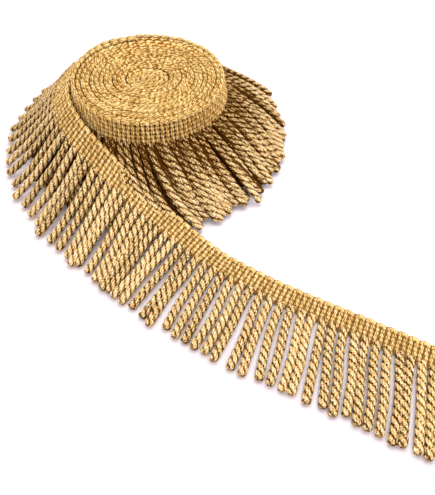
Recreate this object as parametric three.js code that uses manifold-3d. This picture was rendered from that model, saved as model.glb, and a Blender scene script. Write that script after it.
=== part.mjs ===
import * as THREE from 'three';
import { mergeVertices } from 'three/addons/utils/BufferGeometryUtils.js';
import Module from 'manifold-3d';

const wasm = await Module();
wasm.setup();

// A knitted heading with a fringe of twisted cords, wound into a roll that stands on its fringe.
// The outer turn leaves the roll and comes down to lie flat on the table.
// Millimetres, +Z up. The roll's axis is the Z axis until the whole group is centred at the end.

// Driving dimensions of the trim
const loopPitch = 5.6;
const ribPitch = loopPitch / 2;
const headingWidth = 13.7;
const headingThick = 2.6;
const ribRelief = 0.4;
const loopRise = 0.7;
const cordLength = 46;
const cordWidth = 3.4;
const rootScale = 0.45;
const pieceGap = 0.3;

// Driving dimensions of the roll
const rollRadius = 45.5;
const rollTop = 47.9;
const turnPitch = 2.6;
const turnGroove = 1.1;
const eyeRadius = 1.3;
const stationsPerTurn = 36;
const wallFlare = 2.3;
const leaveAngle = rad(105);
const rollBottom = rollTop - headingWidth;
const turns = Math.round((rollRadius - eyeRadius) / turnPitch) - 1;

// Driving dimensions of the roll's skirt of cords
const stripThick = 1.7;
const stripTop = rollBottom - pieceGap;
const skirtRadius = 84;
const skirtUnderTail = 69;
const skirtBulge = 0.25;
const sectionTilt = 0.8;
const tuckedFrom = rad(90);
const tuckedFull = rad(25);
const tuckedEasing = rad(185);
const tuckedTo = rad(215);
const swingLeast = rad(8);
const swingMost = rad(22);
const swingFront = rad(-80);
const strandLayers = [
  { inset: 1.2, reach: 1.0, count: 51, sides: 4, steps: 4 },
  { inset: 6.4, reach: 0.89, count: 44, sides: 4, steps: 3 },
  { inset: 12.6, reach: 0.74, count: 32, sides: 4, steps: 3 },
  { inset: 21, reach: 0.52, count: 16, sides: 3, steps: 2 },
  { inset: 31, reach: 0.29, count: 8, sides: 3, steps: 2 },
  { inset: 40, reach: 0.1, count: 3, sides: 3, steps: 2 },
];

// Driving dimensions of the loose end. It is flat where its middle is half a thickness above the table.
// The route is the middle of the heading's top edge, from the roll to the cut end.
const flatHeight = headingThick / 2;
const flatMargin = 0.02;
const tailRoute = [
  { x: -12.8, y: 43.4, z: 46.4 },
  { x: -29.6, y: 35.3, z: 45.6 },
  { x: -41.2, y: 21.9, z: 44.8 },
  { x: -46.7, y: 5.8, z: 43.8 },
  { x: -45.6, y: -12.6, z: 42.8 },
  { x: -36.0, y: -32.6, z: 40.0 },
  { x: -21.2, y: -47.9, z: 32.1 },
  { x: -5.3, y: -59.7, z: 21.6 },
  { x: 11.2, y: -71.3, z: 11.8 },
  { x: 28.0, y: -84.8, z: 5.4 },
  { x: 45.4, y: -98.6, z: flatHeight },
  { x: 73.2, y: -117.5, z: flatHeight },
  { x: 102.0, y: -134.6, z: flatHeight },
  { x: 131.5, y: -150.8, z: flatHeight },
  { x: 163.0, y: -167.6, z: flatHeight },
];
const tailSkewStart = rad(3);
const tailSkewEnd = rad(18);
const tailSteps = 4;
const touchDown = 0.75;
const tailSway = 0.02;
const swayRhythm = 2.3;
const stripWidth = 1.6;

function rad(degrees) {
  return degrees * Math.PI / 180;
}

function polar(radius, angle, z) {
  return new THREE.Vector3(radius * Math.cos(angle), radius * Math.sin(angle), z);
}

// A closed body from a list of points and a list of triangles
function body(points, triangles) {
  const geometry = new THREE.BufferGeometry();
  const flat = points.flatMap((p) => [p.x, p.y, p.z]);
  geometry.setAttribute('position', new THREE.Float32BufferAttribute(flat, 3));
  geometry.setIndex(triangles.flat());
  return geometry;
}

// Triangles between two lines of point numbers of unlike length, with the second line on the left
function zip(lineA, lineB) {
  const triangles = [];
  let a = 0;
  let b = 0;
  while (a < lineA.length - 1 || b < lineB.length - 1) {
    const nextA = (a + 0.5) / (lineA.length - 1);
    const nextB = (b + 0.5) / (lineB.length - 1);
    if (b === lineB.length - 1 || (a < lineA.length - 1 && nextA <= nextB)) {
      triangles.push([lineA[a], lineA[a + 1], lineB[b]]);
      a += 1;
    } else {
      triangles.push([lineA[a], lineB[b + 1], lineB[b]]);
      b += 1;
    }
  }
  return triangles;
}

// Rings of equal size joined into a closed tube with a cap at each end
function tube(rings) {
  const size = rings[0].length;
  const triangles = [];
  for (let i = 0; i < rings.length - 1; i += 1) {
    for (let j = 0; j < size; j += 1) {
      const a = i * size + j;
      const b = i * size + (j + 1) % size;
      triangles.push([a, b, b + size], [a, b + size, a + size]);
    }
  }
  const last = (rings.length - 1) * size;
  for (let j = 1; j < size - 1; j += 1) {
    triangles.push([0, j + 1, j], [last, last + j, last + j + 1]);
  }
  return body(rings.flat(), triangles);
}

function solid(geometry) {
  const plain = geometry.clone();
  plain.deleteAttribute('normal');
  plain.deleteAttribute('uv');
  const merged = mergeVertices(plain, 1e-4);
  return new wasm.Manifold(new wasm.Mesh({
    numProp: 3,
    vertProperties: Float32Array.from(merged.attributes.position.array),
    triVerts: Uint32Array.from(merged.index.array),
  }));
}

function join(geometries) {
  const whole = geometries.map(solid).reduce((sum, next) => sum.add(next));
  const mesh = whole.getMesh();
  const geometry = new THREE.BufferGeometry();
  geometry.setAttribute('position', new THREE.BufferAttribute(Float32Array.from(mesh.vertProperties), 3));
  geometry.setIndex(new THREE.BufferAttribute(Uint32Array.from(mesh.triVerts), 1));
  return geometry;
}

// The roll's outer radius grows by one turn's thickness on its way round to where the loose end leaves
function rimRadius(angle) {
  const turned = (angle - leaveAngle) / (2 * Math.PI);
  return rollRadius - turnPitch * (1 - (turned - Math.floor(turned)));
}

// Height of ribs and of hairpin loops at a distance along the trim
function ribAt(distance) {
  return ribRelief * Math.cos(2 * Math.PI * distance / ribPitch);
}

function loopAt(distance) {
  return loopRise * Math.abs(Math.cos(Math.PI * distance / loopPitch));
}

// The wound heading: one spiral of grooved turns, with a ribbed outer wall that flares downwards
function woundHeading() {
  const points = [];
  const triangles = [];
  const add = (point) => points.push(point) - 1;
  const angleOf = (station) => leaveAngle + 2 * Math.PI * station / stationsPerTurn;
  const innerRadius = (station) => eyeRadius + turnPitch * station / stationsPerTurn;
  const total = turns * stationsPerTurn;
  const grooves = [];
  const crests = [];
  for (let k = 0; k <= total; k += 1) {
    grooves.push(add(polar(innerRadius(k), angleOf(k), rollTop - turnGroove)));
    crests.push(add(polar(innerRadius(k) + turnPitch / 2, angleOf(k), rollTop)));
  }

  const rim = [grooves[total]];
  const foot = [];
  const ribStations = 4 * Math.round(2 * Math.PI * rollRadius / loopPitch);
  for (let i = 0; i <= ribStations; i += 1) {
    const angle = leaveAngle + 2 * Math.PI * i / ribStations;
    const distance = loopPitch * i / 4;
    const nearEnd = i === ribStations ? rollRadius : rimRadius(angle);
    const radius = nearEnd - ribRelief + ribAt(distance);
    if (i > 0) {
      rim.push(add(polar(radius, angle, rollTop - turnGroove + loopAt(distance))));
    }
    foot.push(add(polar(radius + wallFlare, angle, rollBottom)));
  }

  const centre = add(new THREE.Vector3(0, 0, rollTop - 2 * turnGroove));
  for (let k = 0; k < total; k += 1) {
    triangles.push(...zip([grooves[k + 1], grooves[k]], [crests[k + 1], crests[k]]));
    if (k < total - stationsPerTurn) {
      const outer = [grooves[k + stationsPerTurn + 1], grooves[k + stationsPerTurn]];
      triangles.push(...zip([crests[k + 1], crests[k]], outer));
    }
    if (k < stationsPerTurn) {
      triangles.push([centre, grooves[k], grooves[k + 1]]);
    }
  }
  triangles.push([centre, grooves[stationsPerTurn], crests[0]], [centre, crests[0], grooves[0]]);

  const lastCrests = crests.slice(total - stationsPerTurn);
  triangles.push(...zip(rim, lastCrests));
  triangles.push(...zip(foot, rim));
  const end = foot.length - 1;
  triangles.push([rim[end], foot[end], crests[total]]);
  triangles.push([crests[total], foot[end], foot[0]], [crests[total], foot[0], grooves[total]]);
  const under = add(polar(turnPitch, leaveAngle - Math.PI / 2, rollBottom));
  for (let i = 0; i < end; i += 1) {
    triangles.push([under, foot[i + 1], foot[i]]);
  }
  triangles.push([under, foot[0], foot[end]]);
  return body(points, triangles);
}

// How far the skirt's cords reach out at an angle: less where the loose end lies over them
function skirtReach(angle) {
  const turned = THREE.MathUtils.euclideanModulo(angle - tuckedFrom, 2 * Math.PI);
  const entering = THREE.MathUtils.smoothstep(turned, 0, tuckedFull);
  const leaving = 1 - THREE.MathUtils.smoothstep(turned, tuckedEasing, tuckedTo);
  return THREE.MathUtils.lerp(skirtRadius, skirtUnderTail, Math.min(entering, leaving));
}

// How far a cord swings round the roll on its way down: most at the front
function skirtSwing(angle) {
  const frontness = Math.max(0, Math.cos(angle - swingFront));
  return cordLength * Math.tan(THREE.MathUtils.lerp(swingLeast, swingMost, frontness));
}

// A cord of the skirt, from inside the strip down to the table, with a level foot
function skirtStrand(layer, number) {
  const angle = leaveAngle + 2 * Math.PI * (number + 0.5) / layer.count;
  const rootRadius = rimRadius(angle) + wallFlare - layer.inset - cordWidth / 2;
  const tipRadius = layer.reach * skirtReach(angle + skirtSwing(angle) / skirtRadius);
  const swing = skirtSwing(angle) * layer.reach / ((rootRadius + tipRadius) / 2);
  const root = stripTop - stripThick / 2;
  const rings = [];
  for (let i = 0; i <= layer.steps; i += 1) {
    const t = i / layer.steps;
    const radius = THREE.MathUtils.lerp(rootRadius, tipRadius, t + skirtBulge * t * (1 - t));
    const centre = polar(radius, angle + swing * t, root * (1 - t));
    const turned = angle + swing * t;
    const half = cordWidth / 2 * (i === 0 ? rootScale : 1);
    const across = polar(half, turned + Math.PI / 2, 0);
    const slope = i === layer.steps ? 0 : Math.atan2(tipRadius - rootRadius, root) * sectionTilt;
    const outward = polar(half * Math.cos(slope), turned, half * Math.sin(slope));
    const ring = [];
    for (let j = 0; j < layer.sides; j += 1) {
      const around = 2 * Math.PI * (j + 0.5) / layer.sides;
      const size = Math.SQRT2;
      ring.push(centre.clone()
        .addScaledVector(outward, size * Math.cos(around))
        .addScaledVector(across, -size * Math.sin(around)));
    }
    rings.push(ring);
  }
  return tube(rings);
}

// The strip bound under the wound heading's lower edge, with every cord of the skirt fused to it
function skirt() {
  const outline = new THREE.Shape();
  const stripStations = Math.round(1.5 * stationsPerTurn);
  for (let i = 0; i <= stripStations; i += 1) {
    const angle = leaveAngle + 2 * Math.PI * i / stripStations;
    const radius = (i === stripStations ? rollRadius : rimRadius(angle)) + wallFlare - 2 * ribRelief;
    const point = polar(radius, angle, 0);
    if (i === 0) outline.moveTo(point.x, point.y);
    else outline.lineTo(point.x, point.y);
  }
  outline.closePath();
  const strip = new THREE.ExtrudeGeometry(outline, { depth: stripThick, bevelEnabled: false });
  strip.translate(0, 0, stripTop - stripThick);
  const pieces = [strip];
  for (const layer of strandLayers) {
    for (let number = 0; number < layer.count; number += 1) {
      pieces.push(skirtStrand(layer, number));
    }
  }
  return join(pieces);
}

const tailPoints = tailRoute.map((row) => new THREE.Vector3(row.x, row.y, row.z));
const tailCurve = new THREE.CatmullRomCurve3(tailPoints);
tailCurve.arcLengthDivisions = 600;
const tailLoops = Math.floor(tailCurve.getLength() / loopPitch);
const tailLength = tailLoops * loopPitch;

// The heading's place at a distance along the loose end: its top edge, and the directions along it,
// down its width and out of its face. It leans so that its cords' tips lie on the table.
function tailFrame(distance) {
  const u = Math.min(distance / tailCurve.getLength(), 1);
  const edge = tailCurve.getPointAt(u);
  const along = tailCurve.getTangentAt(u);
  if (edge.z <= flatHeight + flatMargin) {
    edge.z = flatHeight;
    along.z = 0;
    along.normalize();
  }
  const outward = new THREE.Vector3(along.y, -along.x, 0).normalize();
  const skew = THREE.MathUtils.lerp(tailSkewStart, tailSkewEnd, u);
  const drop = (edge.z - flatHeight) / (headingWidth + cordLength);
  const lean = Math.asin(drop);
  const ribSkew = skew / 2;
  const down = outward.clone().multiplyScalar(Math.cos(lean) * Math.cos(ribSkew));
  down.addScaledVector(new THREE.Vector3(along.x, along.y, 0).normalize(), Math.sin(ribSkew));
  down.z = -Math.sin(lean);
  down.normalize();
  const face = new THREE.Vector3().crossVectors(down, along).normalize();
  return { edge, along, outward, down, face, skew };
}

function looseHeading() {
  const rings = [];
  const stations = tailLoops * 4;
  for (let i = 0; i <= stations; i += 1) {
    const distance = loopPitch * i / 4;
    const { edge, down, face } = tailFrame(distance);
    const front = headingThick / 2 - ribRelief + ribAt(distance);
    const back = -headingThick / 2;
    const top = -loopAt(distance);
    const at = (width, depth) => edge.clone().addScaledVector(down, width).addScaledVector(face, depth);
    rings.push([at(top, front), at(headingWidth, front), at(headingWidth, back), at(top, back)]);
  }
  return tube(rings);
}

// A cord of the loose end: down from the strip, then level along the table
function looseStrand(number) {
  const distance = loopPitch * (number + 0.5);
  const { edge, along, outward, down, skew } = tailFrame(distance);
  const root = edge.clone().addScaledVector(down, headingWidth + pieceGap + stripWidth / 2);
  const level = new THREE.Vector3(along.x, along.y, 0).normalize();
  const sway = tailSway * Math.sin(swayRhythm * number);
  const flatWay = outward.clone().multiplyScalar(Math.cos(skew + sway));
  flatWay.addScaledVector(level, Math.sin(skew + sway));
  const half = cordWidth / 2;
  const height = Math.max(0, root.z - half);
  const run = Math.sqrt(cordLength ** 2 - height ** 2);
  const across = new THREE.Vector3(-flatWay.y, flatWay.x, 0);
  const rings = [];
  for (let i = 0; i <= tailSteps; i += 1) {
    const t = i / tailSteps;
    const left = Math.max(0, 1 - t / touchDown);
    const centre = root.clone().addScaledVector(flatWay, run * t);
    centre.z = half + height * left;
    const slope = left > 0 ? Math.atan2(height, run * touchDown) : 0;
    const lift = flatWay.clone().multiplyScalar(Math.sin(slope)).setZ(Math.cos(slope));
    const size = half * (i === 0 ? rootScale : 1);
    rings.push([[-1, -1], [1, -1], [1, 1], [-1, 1]].map(([a, b]) => centre.clone()
      .addScaledVector(across, a * size)
      .addScaledVector(lift, b * size)));
  }
  return tube(rings);
}

function looseFringe() {
  const rings = [];
  for (let i = 0; i <= tailLoops; i += 1) {
    const { edge, down, face } = tailFrame(loopPitch * i);
    const inner = headingWidth + pieceGap;
    const outer = inner + stripWidth;
    const half = stripThick / 2;
    const at = (width, depth) => edge.clone().addScaledVector(down, width).addScaledVector(face, depth);
    rings.push([at(inner, half), at(outer, half), at(outer, -half), at(inner, -half)]);
  }
  const pieces = [tube(rings)];
  for (let number = 0; number < tailLoops; number += 1) {
    pieces.push(looseStrand(number));
  }
  return join(pieces);
}

function yarn(color) {
  return new THREE.MeshStandardMaterial({ color, roughness: 0.55, metalness: 0.25 });
}

function addPiece(group, name, geometry, material) {
  const mesh = new THREE.Mesh(geometry, material);
  mesh.name = name;
  group.add(mesh);
}

const headingYarn = yarn(0xd9b366);
const cordYarn = yarn(0xc6a35c);
const group = new THREE.Group();
addPiece(group, 'coil_heading', woundHeading(), headingYarn);
addPiece(group, 'coil_fringe', skirt(), cordYarn);
addPiece(group, 'tail_heading', looseHeading(), headingYarn);
addPiece(group, 'tail_fringe', looseFringe(), cordYarn);

// The origin is the middle of the part's outer box, on the table
const reach = new THREE.Box3().setFromObject(group);
const middle = reach.getCenter(new THREE.Vector3());
group.position.set(-middle.x, -middle.y, 0);

export default group;
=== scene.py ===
import math

import bmesh
import bpy
import numpy as np
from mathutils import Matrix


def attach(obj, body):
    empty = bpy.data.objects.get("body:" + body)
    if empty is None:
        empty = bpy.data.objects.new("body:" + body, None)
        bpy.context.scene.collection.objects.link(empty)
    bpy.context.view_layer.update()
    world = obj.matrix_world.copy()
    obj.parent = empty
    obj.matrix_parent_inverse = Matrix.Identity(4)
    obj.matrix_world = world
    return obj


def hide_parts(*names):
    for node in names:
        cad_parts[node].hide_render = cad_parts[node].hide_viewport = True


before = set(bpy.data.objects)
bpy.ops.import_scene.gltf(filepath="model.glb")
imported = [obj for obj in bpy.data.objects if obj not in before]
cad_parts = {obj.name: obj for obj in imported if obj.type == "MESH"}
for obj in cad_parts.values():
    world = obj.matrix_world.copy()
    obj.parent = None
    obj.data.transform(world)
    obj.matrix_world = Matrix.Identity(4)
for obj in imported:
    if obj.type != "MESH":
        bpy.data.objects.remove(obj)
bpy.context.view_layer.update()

# A gold fringe trim: a ribbed heading of hairpin loops with a twisted cord under each pair of ribs.
# It is wound into a roll that stands on its cords, and its outer turn comes down to lie on the table.
# Lengths are in metres, apart from those that a comment gives in millimetres. The roll and the route of
# the loose end are set out from the roll's axis.
MM = 0.001
ROLL_AXIS = np.array([-34.93, 69.48, 0.0]) * MM

# The trim
LOOP_PITCH = 5.6 * MM
RIB_OFFSET = LOOP_PITCH / 4
HEADING_WIDTH = 13.7 * MM
HEADING_THICK = 2.6 * MM
LOOP_RISE = 0.7 * MM
RIB_WIDTH = 2.38 * MM
RIB_PLIES = 2
RIB_SIDES = 8
RIB_WAIST = 0.92
BEND_FULLNESS = 1.02
BEND_RISE = 1.1 * MM
BEND_SQUARENESS = 0.7
BEND_FLARE = 0.6 * MM
HAIRPIN_TOP = RIB_WIDTH / 2 * BEND_FULLNESS - LOOP_RISE + BEND_RISE
RIB_LEG = HEADING_WIDTH - HAIRPIN_TOP
RIB_END = 0.3 * MM
BEND_RINGS = 12
LEG_STEPS = 16
BEND_STEPS = 14
ROW_PITCH = 2.56 * MM
FIRST_ROW = 2.6 * MM
PINCH = 0.4
PINCH_REACH = 0.24
BEAD_RINGS = (-0.3, -0.1, 0.0, 0.1, 0.3)
# Painted shade: how much darker a strand is painted where it is drawn in
CREASE_SHADE = 1.4
THREAD_WIDTH = 1.0 * MM
THREAD_DEPTH = 0.45 * MM
# Painted shade: the binding threads, sunk among the ribs, are painted darker
THREAD_SHADE = -0.35
THREAD_ROWS = 5
THREAD_SIDES = 6
TAIL_THREAD_RINGS = 240
WALL_THREAD_RINGS = 204
THREAD_STEPS = 300
EDGE_THREAD_DOWN = 0.5 * MM
GROUND_COLUMNS = 4
GROUND_ROWS_PER_LOOP = 4
GROUND_THICK = 0.8 * MM
GROUND_MARGIN = 0.2 * MM
CORD_LENGTH = 47.7 * MM
CORD_WIDTH = 5.0 * MM
CORD_PLIES = 3
CORD_SIDES = 12
CORD_RINGS = 60
INNER_CORD_SIDES = 6
INNER_CORD_RINGS = 36
CORD_WAIST = 0.7
HALF_TWIST = 6.6 * MM
ROOT_SIZE = 0.88
ROOT_GROWTH = 8
SHAFT_END = 0.93
# A cord's rounded tip: share of its length, and its size there
CORD_TIP = [(0.955, 1.04), (0.98, 0.98), (0.993, 0.78), (1.0, 0.42)]

# The roll
LOOPS_ROUND = 51
ROLL_RADIUS = 45.5 * MM
ROLL_TOP = 47.9 * MM
ROLL_BOTTOM = ROLL_TOP - HEADING_WIDTH
TURN_PITCH = 2.6 * MM
TOP_WIDTH = 2.65 * MM
TOP_WAIST = 0.72
TOP_DIP = 0.2
TOP_PINCH = 0.42
TOP_PINCH_REACH = 0.34
# Ranges of tone for the roll's top turns and its wall, lower than the loose end's heading, which paints shade
# on the roll
TOP_TONES = (0.0, 0.6)
WALL_TONES = (0.1, 0.5)
STRETCHES = (0.9, 1.1)
TURN_RINGS = 8
ARCH_RINGS = 12
ARCH_STEPS = 7
ARCH_DROP = 1.2 * MM
ARCH_WAIST = 0.9
# Painted shade, darker still, where an inner turn is drawn in between its ribs
ARCH_CREASE_SHADE = 1.7 * CREASE_SHADE
TURNS_STEPS = 6000
WOBBLE_RATES = (0.37, 1.71, 2.9, 4.3)
LIFT_RATES = (0.21, 0.83, 1.57, 3.1)
LIFT_SHARE = 0.5
EYE_RADIUS = 0.9 * MM
EYE_OVAL = 0.4
EYE_OVAL_REACH = 8 * MM
INNER_RING = 11.5 * MM
INNER_RING_SUNK = 0.7 * MM
INNER_RING_DRAWN_IN = 0.4 * MM
INNER_RING_EDGE = 0.6 * MM
BACK_FULLNESS = 0.3
FIRST_TURN_FULLNESS = 1.05
LEAST_PINCHED = 0.5
PINCHED_FROM = 2 * MM
PINCHED_TO = 12 * MM
BACK_SPREAD = 2.6 * MM
BACK_ANGLE = math.radians(95)
BACK_REACH = math.radians(48)
SWELL = 2.8 * MM
SWELL_ANGLE = math.radians(155)
SWELL_REACH = math.radians(50)
WALL_FLARE = 2.3 * MM
BACK_DRAWN_IN = 1.6
WALL_STEPS = 400
WALL_GROUND_TOP = 1.0 * MM
WALL_GROUND_DEPTH = 2.1 * MM
LEAVE_ANGLE = math.radians(105)

# How far the inner turns wander sideways and up and down, and lie below the roll's top, in millimetres
WOBBLE = 0.12
LIFT = 0.2
TOP_SUNK = 0.4

# The skirt of cords under the roll
SKIRT_RADIUS = 84 * MM
SKIRT_UNDER_TAIL = 77 * MM
SHADE_UNDER_TAIL = -1.3
# Painted shade on the sides of the skirt's cords, where they meet their neighbours
SKIRT_VALLEY_SHADE = -1.5
SKIRT_BULGE = 0.25
SKIRT_SLIMNESS = 0.85
TUCKED_FROM = math.radians(90)
TUCKED_FULL = math.radians(25)
TUCKED_EASING = math.radians(125)
TUCKED_TO = math.radians(165)
CORD_TOP_INSIDE = 1.0 * MM
SKIRT_CORD_STEPS = 12
# Where along a cord its painted shade gives way from the root's tone to the tip's
SHADE_FROM = 0.1
SHADE_TO = 0.9

# At angles in degrees round the roll: how far the skirt reaches out, in millimetres, and how many
# degrees its cords are combed to one side
SKIRT_REACH = {
    "angle": (-180, -95, -72, -50, -10, 5, 30, 55, 80, 180),
    "reach": (84, 83, 81.8, 83.5, 82.5, 81, 83.5, 82.5, 84, 84),
}
SKIRT_SWING = {
    "angle": (-180, -120, -90, -60, -30, 0, 25, 55, 85, 120, 150, 180),
    "swing": (8, 20, 25, 9, 0, -13, -18, -20, -15, -8, 0, 8),
}

# The skirt's layers. An inset is in millimetres, an offset and a stray are in spacings of the layer's
# cords, a reach is a share of the skirt's, and the tones are those of the root and the tip, lower at the
# root and in the inner layers as painted shade under the heading and inside the skirt.
OUTER_LAYER = {"inset": 1.0, "reach": 1.0, "count": 68, "offset": 0.5, "stray": 0.05, "tones_and_shades": (-0.65, 0.75)}
MIDDLE_LAYER = {"inset": 4.2, "reach": 0.985, "count": 68, "offset": 0.0, "stray": 0.1, "tones_and_shades": (-2.2, 0.3)}
INNER_LAYERS = [
    {"inset": 6.8, "reach": 0.965, "count": 51, "offset": 0.3, "stray": 0.2, "tones_and_shades": (-2.2, -1.2)},
    {"inset": 10, "reach": 0.93, "count": 47, "offset": 0.8, "stray": 0.2, "tones_and_shades": (-2.2, -1.4)},
    {"inset": 14.5, "reach": 0.83, "count": 40, "offset": 0.4, "stray": 0.2, "tones_and_shades": (-2.2, -1.4)},
    {"inset": 20, "reach": 0.66, "count": 28, "offset": 0.4, "stray": 0.2, "tones_and_shades": (-2.2, -1.4)},
    {"inset": 26, "reach": 0.5, "count": 20, "offset": 0.4, "stray": 0.2, "tones_and_shades": (-2.2, -1.4)},
    {"inset": 33, "reach": 0.33, "count": 12, "offset": 0.4, "stray": 0.2, "tones_and_shades": (-2.2, -1.4)},
]

# The loose end: the middle of its heading's top edge, from the roll to the cut end
FLAT_HEIGHT = HEADING_THICK / 2
TAIL_ROUTE = np.array([
    (-11.3, 43.4, 47.2),
    (-30.4, 36.3, 46.6),
    (-41.9, 22.2, 45.2),
    (-46.7, 5.8, 43.8),
    (-45.6, -12.6, 42.8),
    (-36.0, -32.6, 40.0),
    (-21.2, -47.9, 32.1),
    (-5.3, -59.7, 21.6),
    (11.2, -71.3, 11.8),
    (28.0, -84.8, 5.4),
    (45.4, -98.9, 1.3),
    (73.2, -117.8, 1.3),
    (102.0, -133.9, 1.3),
    (131.5, -150.0, 1.3),
    (163.0, -167.6, 1.3),
]) * MM
TAIL_SKEW_START = math.radians(-4)
TAIL_SKEW_END = math.radians(18)
TAIL_STRAY = 0.042
TIPS_TOUCH = 0.97
RAISED_UNTIL = 120 * MM
RAISED_SLIMNESS = 0.86
# Painted light: the raised cords are painted a little lighter
RAISED_LIGHT = 0.1
TAIL_SEED = 316
# Painted shade on the sides of the loose end's cords, where they meet their neighbours
VALLEY_SHADE = -0.7
TAIL_TONES = (0.1, 0.75)
TAIL_HEADING_TONES = (0.3, 0.7)
TAIL_CORD_STEPS = 16
LOWERED_FROM = 0.5 * RAISED_UNTIL
# Where across a cord its painted shade begins and ends
VALLEY_FROM = -0.1
VALLEY_TO = 0.7
ROOT_INSIDE = 1.2 * MM
ROOT_DROOP = 1.25
STEPS_PER_LOOP = 8
PUSH_ROUNDS = 60

# Chance differences between like strands, as standard deviations in millimetres
HAIRPIN_STRAY = 0.1
TAIL_LENGTH_STRAY = 0.8
TAIL_BOW = 0.7
TAIL_WAVE = 0.3
SKIRT_ROOT_STRAY = 0.6
SKIRT_SWING_STRAY = 0.8
SKIRT_TIP_STRAY = 1.8
SKIRT_BOW = 1.0
SKIRT_WAVE = 0.4

# The number of half waves along a cord, and chance differences without a unit
WAVES = 2.5
BULGE_STRAY = 0.05
TONE_STRAY = 0.15

# The camera, and the yarn's tints
CAMERA_LENS = 50.909
CAMERA_PLACE = (0.00544, -0.27850, 0.28541)
CAMERA_TILT = math.radians(41.8805)
WARM_TINT = (1.0, 0.84, 0.66, 1)
OLIVE_TINT = (0.93, 0.97, 0.72, 1)
METAL_THREAD = (1.0, 0.92, 0.66, 1)
HUE_MIDDLE = 0.44

SEED = np.random.default_rng(7)


def unit(vectors):
    return vectors / np.linalg.norm(vectors, axis=-1, keepdims=True)


def blend(low, high, share):
    return low + (high - low) * share


def smooth(value, low, high):
    share = np.clip((value - low) / (high - low), 0, 1)
    return share * share * (3 - 2 * share)


def polar(radius, angle, height):
    radius, angle, height = np.broadcast_arrays(radius, angle, height)
    return np.stack([radius * np.cos(angle), radius * np.sin(angle), height], axis=-1)


class Value:
    """A socket of a material's node tree. Arithmetic on it adds Math nodes."""

    def __init__(self, tree, socket=None):
        self.tree = tree
        self.socket = socket

    def node(self, kind, settings, sockets, output=0):
        """Adds a node: first its settings, then the value or link of each socket."""
        made = self.tree.nodes.new(kind)
        for name, setting in settings.items():
            if name == "stops":
                ramp = made.color_ramp
                while len(ramp.elements) < len(setting):
                    ramp.elements.new(0.5)
                for element, (position, color) in zip(ramp.elements, setting):
                    element.position = position
                    element.color = (*color, 1)
            else:
                setattr(made, name, setting)
        for name, value in sockets.items():
            if isinstance(value, Value):
                self.tree.links.new(value.socket, made.inputs[name])
            else:
                made.inputs[name].default_value = value
        return Value(self.tree, made.outputs[output] if made.outputs else None)

    def math(self, operation, first, second=0.0):
        return self.node("ShaderNodeMath", {"operation": operation}, {0: first, 1: second})

    def clamp(self):
        return self.node("ShaderNodeMath", {"operation": "ADD", "use_clamp": True}, {0: self, 1: 0.0})

    def step(self, low, high):
        """0 below low and 1 above high, with a smooth change between"""
        ranged = {"From Min": low, "From Max": high, "Value": self}
        return self.node("ShaderNodeMapRange", {"interpolation_type": "SMOOTHSTEP"}, ranged)

    def __add__(self, other):
        return self.math("ADD", self, other)

    __radd__ = __add__

    def __sub__(self, other):
        return self.math("SUBTRACT", self, other)

    def __rsub__(self, other):
        return self.math("SUBTRACT", other, self)

    def __mul__(self, other):
        return self.math("MULTIPLY", self, other)

    __rmul__ = __mul__


def mix_colors(low, high, share):
    """low where share is 0 and high where it is 1"""
    known = next(value for value in (share, low, high) if isinstance(value, Value))
    settings = {"data_type": "RGBA"}
    return known.node("ShaderNodeMix", settings, {0: share, 6: low, 7: high}, 2)


def multiply_colors(color, tint, share):
    """color multiplied by tint where share is 1, and left as it is where share is 0"""
    settings = {"data_type": "RGBA", "blend_type": "MULTIPLY"}
    return share.node("ShaderNodeMix", settings, {0: share, 6: color, 7: tint}, 2)


def noise(place, scale, detail):
    return place.node("ShaderNodeTexNoise", {}, {"Vector": place, "Scale": scale, "Detail": detail})


def new_material(name):
    """An empty material and the wrapper that adds its nodes"""
    material = bpy.data.materials.new(name)
    material.use_nodes = True
    material.node_tree.nodes.clear()
    return material, Value(material.node_tree)


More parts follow.
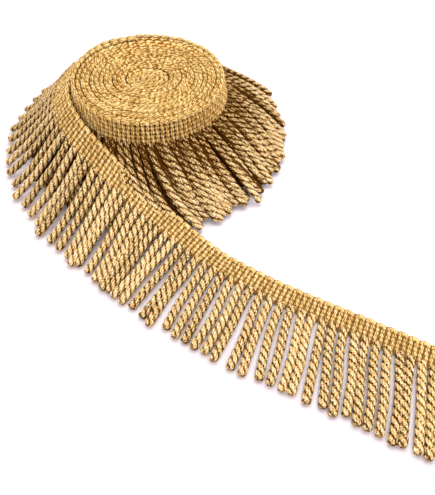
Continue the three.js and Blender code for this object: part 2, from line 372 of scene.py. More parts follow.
def yarn_material(name, shade, body, glint, plies, strands, slant, strand_highlight_and_shade, crease_shade, tone_and_shade_strength, roughen, glitter):
    """Twisted gold yarn: painted shade between its plies, each ply of fine strands with painted highlight and
    shade on them, with specks of metal thread.
    Its plies and strands follow the strand map, with u round the yarn and v along it in millimetres."""
    material, start = new_material(name)
    strand = start.node("ShaderNodeUVMap", {"uv_map": "strand"}, {})
    around = start.node("ShaderNodeSeparateXYZ", {}, {0: strand}, 0)
    along = start.node("ShaderNodeSeparateXYZ", {}, {0: strand}, 1)
    tone = start.node("ShaderNodeAttribute", {"attribute_name": "tone"}, {}, 2)
    place = start.node("ShaderNodeTexCoord", {}, {}, 3)

    between_plies = (0.5 - 0.5 * start.math("COSINE", around * (2 * math.pi * plies))).step(0.45, 1.0)
    ragged = noise(place, 1300.0, 2.0)
    hue = noise(place, 450.0, 1.0)
    cloudy = noise(place, 140.0, 1.0)
    wander = (cloudy - 0.5) * 2.5
    strand_wave = (around * strands - along * slant) * (2 * math.pi) + wander
    strand_top = start.math("SINE", strand_wave).step(-1.0, 0.8)
    fibre_wave = (around * (4 * strands) - along * 2.3) * (2 * math.pi) + wander * 3
    fibre = 0.5 + 0.5 * start.math("SINE", fibre_wave)
    cells = start.node("ShaderNodeTexVoronoi", {}, {"Vector": place, "Scale": 900.0})
    speck = (1 - cells.step(0.2, 0.6)) * ragged.step(0.58 - glitter, 0.66 - glitter)
    # The specks are left out in the creases between plies and where the tone is low, so they too follow the
    # painted shade
    speck = speck * (1 - between_plies.step(0.5, 1.0)) * tone.step(-0.8, 0.2)

    # Painted highlight on each strand's top and painted shade between the strands
    light = 0.55 + (strand_top - 0.55) * strand_highlight_and_shade + (fibre - 0.5) * 0.12 + (ragged - 0.5) * roughen
    # The tone attribute brings random differences together with painted shade and light into the colour
    light = light + (cloudy - 0.5) * 0.3 + (tone - 0.5) * tone_and_shade_strength
    # Painted shade in the creases between plies
    light = light - between_plies * (cloudy + 0.5) * crease_shade
    # The ramp runs from the painted shade colour through the yarn's own colour to the painted highlight
    # colour
    stops = [(0.0, shade), (0.5, body), (1.0, glint)]
    color = start.node("ShaderNodeValToRGB", {"stops": stops}, {0: light.clamp()})
    color = multiply_colors(color, WARM_TINT, (hue - HUE_MIDDLE) * 2.8)
    color = multiply_colors(color, OLIVE_TINT, (HUE_MIDDLE - hue) * 3.0)
    color = mix_colors(color, METAL_THREAD, speck)
    height = strand_top * 0.6 + fibre * 0.15 + ragged * 0.5 + speck * 0.3
    relief = start.node("ShaderNodeBump", {}, {"Strength": 0.9, "Distance": 0.00045, "Height": height})

    shader = start.node("ShaderNodeBsdfPrincipled", {}, {
        "Base Color": color,
        "Metallic": speck * 0.6 + 0.25,
        "Roughness": 0.6 - speck * 0.3,
        "Specular IOR Level": 0.0,
        "Normal": relief,
    })
    start.node("ShaderNodeOutputMaterial", {}, {"Surface": shader})
    return material


def shaded_ground_material(name, color):
    """The inside of the heading, which shows only through its holes, painted dark as the shade in there"""
    material, start = new_material(name)
    place = start.node("ShaderNodeTexCoord", {}, {}, 3)
    grain = noise(place, 700.0, 3.0)
    tint = mix_colors(tuple(0.5 * c for c in color) + (1,), color + (1,), grain.step(0.35, 0.65))
    relief = start.node("ShaderNodeBump", {}, {"Strength": 0.5, "Distance": 0.0003, "Height": grain})
    shader = start.node("ShaderNodeBsdfPrincipled", {}, {
        "Base Color": tint,
        "Roughness": 0.9,
        "Normal": relief,
    })
    start.node("ShaderNodeOutputMaterial", {}, {"Surface": shader})
    return material


class Template:
    """A straight strand modelled once, along +Z from the origin, which is laid along many routes"""

    def __init__(self, points, faces, length, twist, tone):
        self.points = points
        self.faces = faces
        self.length = length
        self.tone = tone
        turned = np.arctan2(points[:, 1], points[:, 0]) + twist * points[:, 2]
        around = np.mod(turned / (2 * math.pi), 1)
        corners = []
        for face in faces:
            u = around[face]
            u = np.where(u.max() - u > 0.5, u + 1, u)
            corners.append(np.column_stack([u, points[face, 2] / MM]))
        self.corners = np.vstack(corners)


def ply_outline(angle, plies, waist):
    """Share of the half width at which plies lying round each other end, at an angle round the yarn"""
    middle = (1 - waist * waist) / (2 - 2 * waist * math.cos(math.pi / plies))
    ply = 1 - middle
    from_ply = math.remainder(angle, 2 * math.pi / plies)
    return middle * math.cos(from_ply) + math.sqrt(ply ** 2 - (middle * math.sin(from_ply)) ** 2)


def model_strand(sides, width, plies, waist, stations, half_twist=HALF_TWIST, crease_shade=0.0):
    """Plies twisted together, drawn up ring by ring. A station is a distance and the yarn's size there,
    and the last argument is painted shade: how much darker the yarn is painted where it is drawn in."""
    length = stations[-1][0]
    twist = math.pi / half_twist
    bpy.ops.object.select_all(action="DESELECT")
    bpy.ops.mesh.primitive_circle_add(vertices=sides, radius=width / 2, fill_type="NGON")
    strand = bpy.context.object
    bpy.ops.object.mode_set(mode="EDIT")
    section = bmesh.from_edit_mesh(strand.data)
    for vertex in section.verts:
        vertex.co *= ply_outline(math.atan2(vertex.co.y, vertex.co.x), plies, waist) * stations[0][1]
    bmesh.update_edit_mesh(strand.data)
    bpy.ops.mesh.select_all(action="SELECT")
    for (near, size), (far, next_size) in zip(stations, stations[1:]):
        bpy.ops.mesh.extrude_region_move(TRANSFORM_OT_translate={"value": (0, 0, far - near)})
        grown = next_size / size
        bpy.ops.transform.resize(value=(grown, grown, 1), center_override=(0, 0, far))
        turn = twist * (far - near)
        bpy.ops.transform.rotate(value=turn, orient_axis="Z", center_override=(0, 0, far))
    bpy.ops.mesh.select_all(action="SELECT")
    bpy.ops.mesh.normals_make_consistent(inside=False)
    bpy.ops.object.mode_set(mode="OBJECT")
    points = np.array([vertex.co for vertex in strand.data.vertices])
    faces = [np.array(face.vertices) for face in strand.data.polygons]
    bpy.data.objects.remove(strand)
    distances, sizes = zip(*stations)
    # Painted shade: a lower tone where the strand is drawn in
    tone = crease_shade * (np.interp(points[:, 2], distances, sizes) - 1)
    return Template(points, faces, length, twist, tone)


def rib_stations():
    """A hairpin's rings, drawn in between its beads, level with each row of holes"""
    route = hairpin_route()
    length = np.linalg.norm(np.diff(route, axis=0), axis=1).sum()
    rows = np.arange(FIRST_ROW, HEADING_WIDTH, ROW_PITCH)
    down = np.sort(np.concatenate([rows + share * ROW_PITCH for share in BEAD_RINGS]))[::-1]
    down = down[(down > HAIRPIN_TOP) & (down < HEADING_WIDTH - RIB_END)]
    up = HEADING_WIDTH - down
    from_row = [abs(math.remainder(distance - FIRST_ROW, ROW_PITCH)) / ROW_PITCH for distance in down]
    sizes = [1 - PINCH * (1 - smooth(share, 0, PINCH_REACH)) for share in from_row]
    bend = [(distance, BEND_FULLNESS) for distance in np.linspace(RIB_LEG, length - RIB_LEG, BEND_RINGS)]
    rise = list(zip(up, sizes))
    fall = [(length - distance, size) for distance, size in reversed(rise)]
    return [(0.0, 1.0)] + rise + bend + fall + [(length, 1.0)]


def even_stations(length, rings, dip=0.0):
    """Rings at even distances, drawn in by dip at both ends"""
    return [(length * i / rings, 1 - dip * abs(2 * i / rings - 1) ** 3) for i in range(rings + 1)]


def arch_stations():
    """An inner turn's rings, drawn in where one rib's end meets the next"""
    stations = []
    for i in range(ARCH_RINGS + 1):
        from_meeting = abs(math.remainder(2 * i / ARCH_RINGS, 1))
        size = 1 - TOP_PINCH * (1 - smooth(from_meeting, 0, TOP_PINCH_REACH))
        stations.append((LOOP_PITCH * i / ARCH_RINGS, size))
    return stations


def cord_stations(rings):
    """A cord's rings: slimmer at its root, and a little fuller before its rounded tip"""
    shaft = []
    for i in range(rings + 1):
        size = blend(ROOT_SIZE, 1.0, min(1, ROOT_GROWTH * i / rings))
        shaft.append((SHAFT_END * i / rings, size))
    return [(CORD_LENGTH * share, size) for share, size in shaft + CORD_TIP]


def distances_along(points):
    """How far along a line each of its points lies"""
    steps = np.linalg.norm(np.diff(points, axis=0), axis=1)
    return np.concatenate([[0], np.cumsum(steps)])


def lay(template, route, across, phase=0.0, size=1.0):
    """The template's points carried along a route, with its section turned by phase"""
    distance = distances_along(route)
    ahead = unit(np.gradient(route, axis=0))
    side = unit(across - ahead * np.sum(across * ahead, axis=1, keepdims=True))
    lift = np.cross(ahead, side)
    at = template.points[:, 2] * distance[-1] / template.length
    turned = template.points[:, 0] + 1j * template.points[:, 1]
    turned = turned * np.exp(1j * phase) * size

    def along(table):
        return np.stack([np.interp(at, distance, column) for column in table.T], axis=1)

    return along(route) + along(side) * turned.real[:, None] + along(lift) * turned.imag[:, None]


def between_cords(template, phase):
    """1 low on a cord's sides, where it meets the cords beside it, and 0 on its upper side: where painted
    shade goes between cords
    """
    turned = (template.points[:, 0] + 1j * template.points[:, 1]) * np.exp(1j * phase)
    return 1 - smooth(turned.imag / (CORD_WIDTH / 2), VALLEY_FROM, VALLEY_TO)


def joined(name, copies, material):
    """One mesh of many laid copies. A copy is its template, its points and its tone, darker when lower; the
    tone holds random differences together with painted shade and light.
    """
    points, faces, corners, tones_and_shades, first = [], [], [], [], 0
    for template, laid, tone in copies:
        points.append(laid)
        faces.extend([(face + first).tolist() for face in template.faces])
        corners.append(template.corners)
        tones_and_shades.append(template.tone + tone)
        first += len(laid)
    mesh = bpy.data.meshes.new(name)
    mesh.from_pydata(np.vstack(points).tolist(), [], faces)
    strand_map = mesh.uv_layers.new(name="strand")
    strand_map.data.foreach_set("uv", np.vstack(corners).ravel())
    tone_values = mesh.attributes.new("tone", "FLOAT", "POINT")
    tone_values.data.foreach_set("value", np.concatenate(tones_and_shades))
    mesh.polygons.foreach_set("use_smooth", [True] * len(mesh.polygons))
    mesh.materials.append(material)
    piece = bpy.data.objects.new(name, mesh)
    bpy.context.scene.collection.objects.link(piece)
    return piece


class Band:
    """A stretch of the heading. A point on it is given by how far down the width, how far along the trim
    and how far out of the face it lies, from the middle of the top edge."""

    def __init__(self, distance, edge, down, face):
        self.distance = distance
        self.edge = edge
        self.down = down
        self.face = face

    def at(self, table, along):
        return np.stack([np.interp(along, self.distance, column) for column in table.T], axis=-1)

    def place(self, points):
        down = unit(self.at(self.down, points[:, 1]))
        face = unit(self.at(self.face, points[:, 1]))
        return self.at(self.edge, points[:, 1]) + down * points[:, :1] + face * points[:, 2:]


def curve_through(points, samples):
    """Points on the centripetal curve through the given points, close together"""
    padded = np.vstack([2 * points[0] - points[1], points, 2 * points[-1] - points[-2]])
    share = np.linspace(0, 1, samples, endpoint=False)[:, None]
    spans = []
    for before, near, far, after in zip(padded, padded[1:], padded[2:], padded[3:]):
        a, b, c = (math.sqrt(np.linalg.norm(q - p)) for p, q in ((before, near), (near, far), (far, after)))
        out = ((near - before) / a - (far - before) / (a + b) + (far - near) / b) * b
        into = ((far - near) / b - (after - near) / (b + c) + (after - far) / c) * b
        cubic = 2 * near - 2 * far + out + into
        square = -3 * near + 3 * far - 2 * out - into
        spans.append(near + out * share + square * share ** 2 + cubic * share ** 3)
    return np.vstack(spans + [points[-1:]])


def tail_band():
    """The loose end's heading, which leans so that its cords' tips lie on the table"""
    curve = curve_through(TAIL_ROUTE, 60)
    reached = distances_along(curve)
    distance = np.arange(0, reached[-1], LOOP_PITCH / STEPS_PER_LOOP)
    edge = np.stack([np.interp(distance, reached, column) for column in curve.T], axis=1)
    edge[:, 2] = np.maximum(edge[:, 2], FLAT_HEIGHT)
    along = unit(np.gradient(edge, axis=0))
    level = unit(along * (1, 1, 0))
    outward = np.stack([level[:, 1], -level[:, 0], np.zeros(len(level))], axis=1)
    skew = blend(TAIL_SKEW_START, TAIL_SKEW_END, distance / reached[-1])[:, None]
    lean = np.arcsin((edge[:, 2:] - FLAT_HEIGHT) / (HEADING_WIDTH + CORD_LENGTH))
    down = outward * np.cos(lean) * np.cos(skew / 2) + level * np.sin(skew / 2)
    down[:, 2:] = -np.sin(lean)
    down = unit(down)
    band = Band(distance, edge + ROLL_AXIS, down, unit(np.cross(down, along)))
    band.outward = outward
    band.level = level
    band.skew = skew
    band.loops = int(reached[-1] // LOOP_PITCH)
    return band


def near_angle(angle, middle, reach):
    """1 at the middle angle and 0 far from it"""
    return np.exp(-(np.mod(angle - middle + math.pi, 2 * math.pi) - math.pi) ** 2 / reach ** 2)


def rim_radius(angle):
    """The roll's outer radius, which grows by one turn on its way round to where the loose end leaves"""
    grown = TURN_PITCH * (1 - np.mod((angle - LEAVE_ANGLE) / (2 * math.pi), 1))
    return ROLL_RADIUS - grown + SWELL * near_angle(angle, SWELL_ANGLE, SWELL_REACH)


def wall_band():
    """The heading's outermost turn on the roll, flared towards its cords and drawn in at the back"""
    angle = LEAVE_ANGLE + np.linspace(0, 2 * math.pi, WALL_STEPS + 1)[:-1]
    distance = (angle - LEAVE_ANGLE) / (2 * math.pi) * LOOPS_ROUND * LOOP_PITCH
    radius = rim_radius(angle) - HEADING_THICK / 2
    edge = polar(radius, angle, ROLL_TOP - LOOP_RISE)
    flare = WALL_FLARE * (1 - BACK_DRAWN_IN * near_angle(angle, BACK_ANGLE, BACK_REACH))
    down = unit(polar(flare, angle, -HEADING_WIDTH))
    face = unit(polar(HEADING_WIDTH, angle, flare))
    return Band(distance, edge + ROLL_AXIS, down, face)


def hairpin_route():
    """Up one rib, over the flat bend at the top edge and down the next, as down, along and out of the face"""
    up = [(blend(HEADING_WIDTH, HAIRPIN_TOP, i / LEG_STEPS), -RIB_OFFSET) for i in range(LEG_STEPS)]
    over = []
    for i in range(BEND_STEPS + 1):
        turn = math.pi * i / BEND_STEPS
        sideways = math.copysign(abs(math.cos(turn)) ** BEND_SQUARENESS, math.cos(turn))
        rise = BEND_RISE * math.sin(turn) ** BEND_SQUARENESS
        over.append((HAIRPIN_TOP - rise, -RIB_OFFSET * sideways - BEND_FLARE * math.sin(2 * turn)))
    back = [(down, RIB_OFFSET) for down, _ in reversed(up)]
    flat = np.array(up + over + back)
    return np.column_stack([flat, np.zeros(len(flat))])


def hairpin(template):
    """A hairpin lying flat, with its section turned alike in both legs"""
    route = hairpin_route()
    out = np.tile((0.0, 0.0, 1.0), (len(route), 1))
    ahead = unit(np.gradient(route, axis=0))
    return lay(template, route, np.cross(out, ahead))


def headings(band, template, count, first, tones_and_shades):
    """The hairpins side by side along a band"""
    flat = hairpin(template)
    copies = []
    for number in range(count):
        shift = SEED.normal(0, HAIRPIN_STRAY, 3) * MM
        shift[1] += (number + first) * LOOP_PITCH
        copies.append((template, band.place(flat + shift), SEED.uniform(*tones_and_shades)))
    return copies


def binding_threads(band, template, length):
    """Threads that run along the band through its ribs, between the rows of holes and at both edges"""
    along = np.linspace(0, length, THREAD_STEPS)
    across = unit(band.at(band.down, along))
    copies = []
    lowest = HEADING_WIDTH - THREAD_WIDTH / 2
    between_rows = [min(FIRST_ROW + ROW_PITCH * (row + 0.5), lowest) for row in range(THREAD_ROWS)]
    for down in [EDGE_THREAD_DOWN] + between_rows:
        flat = np.column_stack([np.full(THREAD_STEPS, down), along, np.full(THREAD_STEPS, -THREAD_DEPTH)])
        copies.append((template, lay(template, band.place(flat), across), THREAD_SHADE))
    return copies


def uneven_run(turned, size, rates):
    """A line that wanders slowly, as a sum of waves"""
    return sum(SEED.normal(0, size) * np.sin(rate * turned + SEED.uniform(0, 6)) for rate in rates)


def turns_fullness(turned, radius, depth, at_back):
    """How thick the yarn of the inner turns is, so that each turn reaches the next one outwards"""
    fullness = 1 + BACK_FULLNESS * at_back * (1 - smooth(depth, TURN_PITCH, 3 * TURN_PITCH))
    whole_turn = 2 * math.pi
    to_next = np.interp(turned - whole_turn, turned, radius) - radius
    return np.maximum(fullness, np.where(turned > whole_turn, to_next / TURN_PITCH, FIRST_TURN_FULLNESS))


def turns_path():
    """The line of the inner turns' top edge, from the wall to the eye, the distance along it, the yarn's
    fullness and the share of its stretches that are pinched"""
    start = ROLL_RADIUS - 1.5 * TURN_PITCH
    turned = np.linspace(0, 2 * math.pi * (start - EYE_RADIUS) / TURN_PITCH, TURNS_STEPS)
    radius = start - TURN_PITCH * turned / (2 * math.pi)
    angle = LEAVE_ANGLE - turned
    oval = EYE_OVAL * np.exp(-radius / EYE_OVAL_REACH)
    wobble = uneven_run(turned, WOBBLE, WOBBLE_RATES)
    lift = uneven_run(turned, LIFT, LIFT_RATES)
    depth = start - radius
    at_back = near_angle(angle, BACK_ANGLE, BACK_REACH)
    spread = smooth(depth, -TURN_PITCH, 1.5 * TURN_PITCH) * (1 - smooth(depth, 1.5 * TURN_PITCH, start))
    swollen = near_angle(angle, SWELL_ANGLE, SWELL_REACH) * (radius / start) ** 2
    sunk = 1 - smooth(radius, INNER_RING - INNER_RING_EDGE, INNER_RING + INNER_RING_EDGE)
    radius = radius * (1 + oval * np.cos(2 * angle)) + wobble * MM
    radius = radius - BACK_SPREAD * at_back * spread + SWELL * swollen - INNER_RING_DRAWN_IN * sunk
    height = ROLL_TOP - TOP_WIDTH / 2 - (TOP_SUNK + LIFT_SHARE * lift) * MM - INNER_RING_SUNK * sunk
    path = polar(radius, angle, height) + ROLL_AXIS
    fullness = turns_fullness(turned, radius, depth, at_back)
    pinched = np.maximum(at_back, LEAST_PINCHED) * smooth(radius, PINCHED_FROM, PINCHED_TO)
    return path, distances_along(path), fullness, pinched


def top_turns(path, reached, fullness, pinched_share, plain, pinched):
    """The inner turns' top edge, one stretch for each hairpin, either plain or pinched between its ribs"""
    copies = []
    near = 0.0
    while near < reached[-1] - LOOP_PITCH / 2:
        far = near + LOOP_PITCH * SEED.uniform(*STRETCHES)
        along = np.linspace(near, far, ARCH_STEPS)
        route = np.stack([np.interp(along, reached, column) for column in path.T], axis=1)
        share = np.interp((near + far) / 2, reached, pinched_share)
        template = pinched if SEED.random() < share else plain
        route[:, 2] -= ARCH_DROP * share * np.linspace(-1, 1, ARCH_STEPS) ** 4
        across = np.tile((0.0, 0.0, 1.0), (ARCH_STEPS, 1))
        size = np.interp((near + far) / 2, reached, fullness)
        copies.append((template, lay(template, route, across, 0.0, size), SEED.uniform(*TOP_TONES)))
        near = far
    return copies


def spread_tips(places, least):
    """Moves places that lie closer than least apart, as cords that lie side by side push each other"""
    places = places.copy()
    for _ in range(PUSH_ROUNDS):
        push = np.maximum(0, least - np.diff(places)) / 2
        places[1:] += push
        places[:-1] -= push
    return places


def tail_cords(band, template):
    """The loose end's cords, which run down to the table where the heading is raised"""
    strays = np.random.default_rng(TAIL_SEED)
    copies = []
    half = CORD_WIDTH / 2
    roots = LOOP_PITCH * (np.arange(band.loops) + 0.5)
    skews = np.interp(roots, band.distance, band.skew[:, 0]) + strays.normal(0, TAIL_STRAY, band.loops)
    tips = spread_tips(roots + CORD_LENGTH * np.tan(skews), CORD_WIDTH * TIPS_TOUCH)
    for distance, tip in zip(roots, tips):
        edge, down = (band.at(table, distance) for table in (band.edge, band.down))
        outward, level = (band.at(table, distance) for table in (band.outward, band.level))
        root = edge + down * (HEADING_WIDTH - ROOT_INSIDE)
        height = max(0.0, root[2] - half)
        length = CORD_LENGTH + SEED.normal(0, TAIL_LENGTH_STRAY) * MM
        run = math.sqrt(length ** 2 - height ** 2)
        skew = math.atan((tip - distance) / CORD_LENGTH)
        way = outward * math.cos(skew) + level * math.sin(skew)
        side = np.array([-way[1], way[0], 0.0])
        share = np.linspace(0, 1, TAIL_CORD_STEPS)
        bow = SEED.normal(0, TAIL_BOW) * MM * np.sin(math.pi * share)
        wave = SEED.normal(0, TAIL_WAVE) * MM * np.sin(WAVES * math.pi * share)
        route = root + way * (run * share)[:, None] + side * (bow + wave)[:, None]
        route[:, 2] = half + height * (1 - share) ** ROOT_DROOP
        across = np.tile(side, (len(route), 1))
        on_table = smooth(distance, LOWERED_FROM, RAISED_UNTIL)
        phase = SEED.uniform(0, math.pi)
        laid = lay(template, route, across, phase, blend(RAISED_SLIMNESS, 1.0, on_table))
        # The raised cords are painted a little lighter, as lit, and each cord's sides get painted shade
        tone = SEED.uniform(*TAIL_TONES) + RAISED_LIGHT * (1 - on_table)
        copies.append((template, laid, tone + VALLEY_SHADE * between_cords(template, phase)))
    return copies


def under_tail(angle):
    """1 where the loose end lies over the skirt and 0 where it doesn't"""
    turned = np.mod(angle - TUCKED_FROM, 2 * math.pi)
    return min(smooth(turned, 0, TUCKED_FULL), 1 - smooth(turned, TUCKED_EASING, TUCKED_TO))


def skirt_reach(angle):
    """How far the cords reach out at an angle: less where the loose end lies over them"""
    around = math.degrees(math.remainder(angle, 2 * math.pi))
    free = np.interp(around, SKIRT_REACH["angle"], SKIRT_REACH["reach"]) * MM
    return blend(free, SKIRT_UNDER_TAIL, under_tail(angle))


def skirt_swing(angle):
    """How far round the cords are combed on their way down"""
    around = math.degrees(math.remainder(angle, 2 * math.pi))
    swing = np.interp(around, SKIRT_SWING["angle"], SKIRT_SWING["swing"])
    return CORD_LENGTH * math.tan(math.radians(swing))


def skirt_cords(template, inset, reach, count, offset, stray, tones_and_shades):
    """One layer of the skirt: cords from under the heading out to the table. Its inset is in millimetres."""
    copies = []
    for number in range(count):
        angle = LEAVE_ANGLE + 2 * math.pi * (number + offset + SEED.normal(0, stray)) / count
        root_stray = abs(SEED.normal(0, SKIRT_ROOT_STRAY)) * MM
        root_radius = rim_radius(angle) + WALL_FLARE - inset * MM - CORD_WIDTH / 2 - root_stray
        swing_way = skirt_swing(angle) + SEED.normal(0, SKIRT_SWING_STRAY) * MM
        tip_stray = SEED.normal(0, SKIRT_TIP_STRAY) * MM
        tip_radius = reach * skirt_reach(angle + swing_way / SKIRT_RADIUS) + tip_stray
        swing = swing_way * reach / ((root_radius + tip_radius) / 2)
        share = np.linspace(0, 1, SKIRT_CORD_STEPS)
        bulge = SKIRT_BULGE + SEED.normal(0, BULGE_STRAY)
        radius = blend(root_radius, tip_radius, share + bulge * share * (1 - share))
        half = CORD_WIDTH / 2
        height = blend(ROLL_BOTTOM + CORD_TOP_INSIDE, half, share)
        bow = SEED.normal(0, SKIRT_BOW) * MM * np.sin(math.pi * share)
        wave = SEED.normal(0, SKIRT_WAVE) * MM * np.sin(WAVES * math.pi * share)
        turned = angle + swing * share + (bow + wave) / radius
        route = polar(radius, turned, height) + ROLL_AXIS
        across = polar(1.0, turned + math.pi / 2, 0.0)
        phase = SEED.uniform(0, math.pi)
        laid = lay(template, route, across, phase, SKIRT_SLIMNESS)
        # Painted shade: darker towards the root under the heading, in the inner layers, under the loose end
        # and on the cord's sides
        painted_shade = blend(*tones_and_shades, smooth(template.points[:, 2] / CORD_LENGTH, SHADE_FROM, SHADE_TO))
        painted_shade = painted_shade + SHADE_UNDER_TAIL * under_tail(turned[-1])
        painted_shade = painted_shade + SKIRT_VALLEY_SHADE * between_cords(template, phase)
        copies.append((template, laid, painted_shade + SEED.normal(0, TONE_STRAY)))
    return copies


def band_ground(name, band, length, top, depth, material):
    """The thin ground of the heading that its ribs are worked on, from its top down and at a depth in it"""
    rows = int(length / LOOP_PITCH * GROUND_ROWS_PER_LOOP)
    bpy.ops.object.select_all(action="DESELECT")
    bpy.ops.mesh.primitive_grid_add(x_subdivisions=GROUND_COLUMNS, y_subdivisions=rows, size=1)
    ground = bpy.context.object
    ground.name = name
    ground.data.name = name
    flat = np.array([vertex.co for vertex in ground.data.vertices])
    flat[:, 0] = blend(top, HEADING_WIDTH - GROUND_MARGIN, flat[:, 0] + 0.5)
    flat[:, 1] = blend(0.0, length, flat[:, 1] + 0.5)
    flat[:, 2] = -depth
    ground.data.vertices.foreach_set("co", band.place(flat).ravel())
    thicken = ground.modifiers.new("thickness", "SOLIDIFY")
    thicken.thickness = GROUND_THICK
    thicken.offset = 0
    bpy.ops.object.modifier_apply(modifier=thicken.name)
    bpy.ops.object.shade_smooth()
    ground.data.materials.append(material)
    return ground


def turns_band(path, reached):
    """The heading's inner turns, which follow their top edges down through the roll"""
    down = np.tile((0.0, 0.0, -1.0), (len(path), 1))
    return Band(reached, path, down, unit(np.cross(down, np.gradient(path, axis=0))))


def add_camera():
    sight = bpy.data.cameras.new("camera")
    sight.sensor_width = 36
    sight.lens = CAMERA_LENS
    sight.clip_start = 0.01
    camera = bpy.data.objects.new("camera", sight)
    camera.location = CAMERA_PLACE
    camera.rotation_euler = (CAMERA_TILT, 0, 0)
    bpy.context.scene.collection.objects.link(camera)
    bpy.context.scene.camera = camera


def add_floor():
    bpy.ops.object.select_all(action="DESELECT")
    bpy.ops.mesh.primitive_plane_add(size=6)
    floor = bpy.context.object
    floor.name = "floor"
    material = bpy.data.materials.new("floor")
    material.use_nodes = True
    shader = material.node_tree.nodes["Principled BSDF"]
    shader.inputs["Base Color"].default_value = (0.80, 0.735, 0.79, 1)
    shader.inputs["Roughness"].default_value = 0.9
    floor.data.materials.append(material)


def add_light(name, place, size, power, color):
    light = bpy.data.lights.new(name, "AREA")
    light.size = size
    light.energy = power
    light.color = color
    lamp = bpy.data.objects.new(name, light)
    lamp.location = place
    aim = -lamp.location
    lamp.rotation_euler = aim.to_track_quat("-Z", "Y").to_euler()
    bpy.context.scene.collection.objects.link(lamp)


def add_lights():
    add_light("overhead", place=(0.1, 0.25, 0.9), size=0.9, power=9.0, color=(1.0, 0.985, 0.96))
    add_light("front", place=(0.0, -0.85, 0.5), size=0.6, power=5.4, color=(1.0, 0.98, 0.96))
    add_light("right", place=(0.85, 0.15, 0.5), size=0.5, power=3.2, color=(1.0, 0.94, 0.84))
    add_light("left", place=(-0.9, 0.0, 0.35), size=0.5, power=1.6, color=(1.0, 0.86, 0.64))
    world = bpy.data.worlds.new("studio")
    world.use_nodes = True
    world.node_tree.nodes["Background"].inputs["Color"].default_value = (0.97, 0.955, 0.965, 1)
    world.node_tree.nodes["Background"].inputs["Strength"].default_value = 0.52
    bpy.context.scene.world = world
    bpy.context.scene.view_settings.view_transform = "Standard"


add_camera()
add_floor()
add_lights()

heading_yarn = yarn_material(
    "heading_yarn",
    shade=(0.28, 0.11, 0.014),
    body=(0.88, 0.635, 0.24),
    glint=(1.0, 0.86, 0.54),
    plies=RIB_PLIES,
    strands=6,
    slant=0.55,
    strand_highlight_and_shade=0.45,
    crease_shade=0.3,
    tone_and_shade_strength=0.4,
    roughen=1.2,
    glitter=-0.03,
)
cord_yarn = yarn_material(
    "cord_yarn",
    shade=(0.075, 0.025, 0.002),
    body=(0.79, 0.545, 0.23),
    glint=(0.96, 0.78, 0.56),
    plies=CORD_PLIES,
    strands=9,
    slant=0.6,
    strand_highlight_and_shade=0.25,
    crease_shade=0.48,
    tone_and_shade_strength=0.35,
    roughen=1.9,
    glitter=0.08,
)
# Painted shade: the heading's ground and the roll's inner turns are painted dark, and the wall's ground,
# deeper in, darker still
shaded_ground_yarn = shaded_ground_material("shaded_ground_yarn", (0.21, 0.095, 0.015))
shaded_yarn = shaded_ground_material("shaded_yarn", (0.07, 0.03, 0.006))

rib = model_strand(RIB_SIDES, RIB_WIDTH, RIB_PLIES, RIB_WAIST, rib_stations(), crease_shade=CREASE_SHADE)
plain_turn = model_strand(
    RIB_SIDES, TOP_WIDTH, RIB_PLIES, TOP_WAIST, even_stations(LOOP_PITCH, TURN_RINGS, TOP_DIP),
    half_twist=RIB_OFFSET * 2, crease_shade=CREASE_SHADE,
)
pinched_turn = model_strand(
    RIB_SIDES, TOP_WIDTH, RIB_PLIES, ARCH_WAIST, arch_stations(),
    half_twist=LOOP_PITCH, crease_shade=ARCH_CREASE_SHADE,
)
cord = model_strand(CORD_SIDES, CORD_WIDTH, CORD_PLIES, CORD_WAIST, cord_stations(CORD_RINGS))
inner_cord = model_strand(
    INNER_CORD_SIDES, CORD_WIDTH, CORD_PLIES, CORD_WAIST, cord_stations(INNER_CORD_RINGS),
)

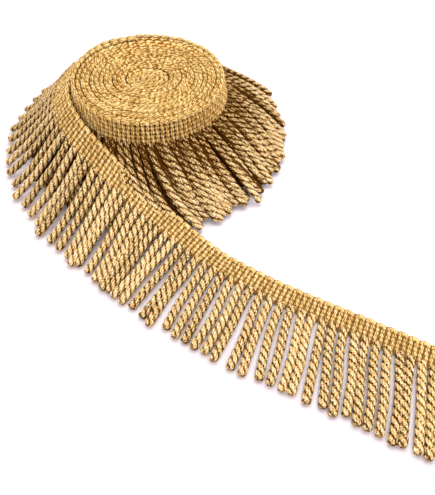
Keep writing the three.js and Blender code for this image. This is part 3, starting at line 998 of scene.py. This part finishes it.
loose = tail_band()
wall = wall_band()
tail_length = loose.loops * LOOP_PITCH
wall_length = LOOPS_ROUND * LOOP_PITCH
tail_thread = model_strand(
    THREAD_SIDES, THREAD_WIDTH, RIB_PLIES, RIB_WAIST, even_stations(tail_length, TAIL_THREAD_RINGS),
)
wall_thread = model_strand(
    THREAD_SIDES, THREAD_WIDTH, RIB_PLIES, RIB_WAIST, even_stations(wall_length, WALL_THREAD_RINGS),
)

tail_ground = band_ground("tail_ground", loose, tail_length, GROUND_MARGIN, 0.0, shaded_ground_yarn)
tail_strands = headings(loose, rib, loose.loops, 0.5, TAIL_HEADING_TONES)
tail_strands += binding_threads(loose, tail_thread, tail_length)
tail_ribs = joined("tail_ribs", tail_strands, heading_yarn)
tail_fringe_cords = joined("tail_cords", tail_cords(loose, cord), cord_yarn)
wall_strands = headings(wall, rib, LOOPS_ROUND, 0.5, WALL_TONES)
wall_strands += binding_threads(wall, wall_thread, wall_length)
roll_wall = joined("roll_wall", wall_strands, heading_yarn)
wall_ground = band_ground(
    "wall_ground", wall, wall_length, WALL_GROUND_TOP, WALL_GROUND_DEPTH, shaded_yarn,
)
top_path, top_reached, top_fullness, top_pinched = turns_path()
top_arches = top_turns(top_path, top_reached, top_fullness, top_pinched, plain_turn, pinched_turn)
roll_loops = joined("roll_loops", top_arches, heading_yarn)
inner_turns = turns_band(top_path, top_reached)
roll_turns = band_ground("roll_turns", inner_turns, top_reached[-1], GROUND_MARGIN, 0.0, shaded_ground_yarn)
outer_skirt = skirt_cords(cord, **OUTER_LAYER)
middle_skirt = skirt_cords(cord, **MIDDLE_LAYER)
inner_skirt = []
for layer in INNER_LAYERS:
    inner_skirt += skirt_cords(inner_cord, **layer)
roll_skirt_outer = joined("roll_skirt_outer", outer_skirt, cord_yarn)
roll_skirt_middle = joined("roll_skirt_middle", middle_skirt, cord_yarn)
roll_skirt_inner = joined("roll_skirt_inner", inner_skirt, cord_yarn)

for piece in (tail_ground, tail_ribs):
    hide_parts("tail_heading")
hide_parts("tail_fringe")
for piece in (wall_ground, roll_wall, roll_loops, roll_turns):
    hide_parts("coil_heading")
for piece in (roll_skirt_outer, roll_skirt_middle, roll_skirt_inner):
    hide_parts("coil_fringe")
for piece in (tail_ground, tail_ribs, tail_fringe_cords, wall_ground, roll_wall, roll_loops, roll_turns,
              roll_skirt_outer, roll_skirt_middle, roll_skirt_inner):
    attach(piece, "root")
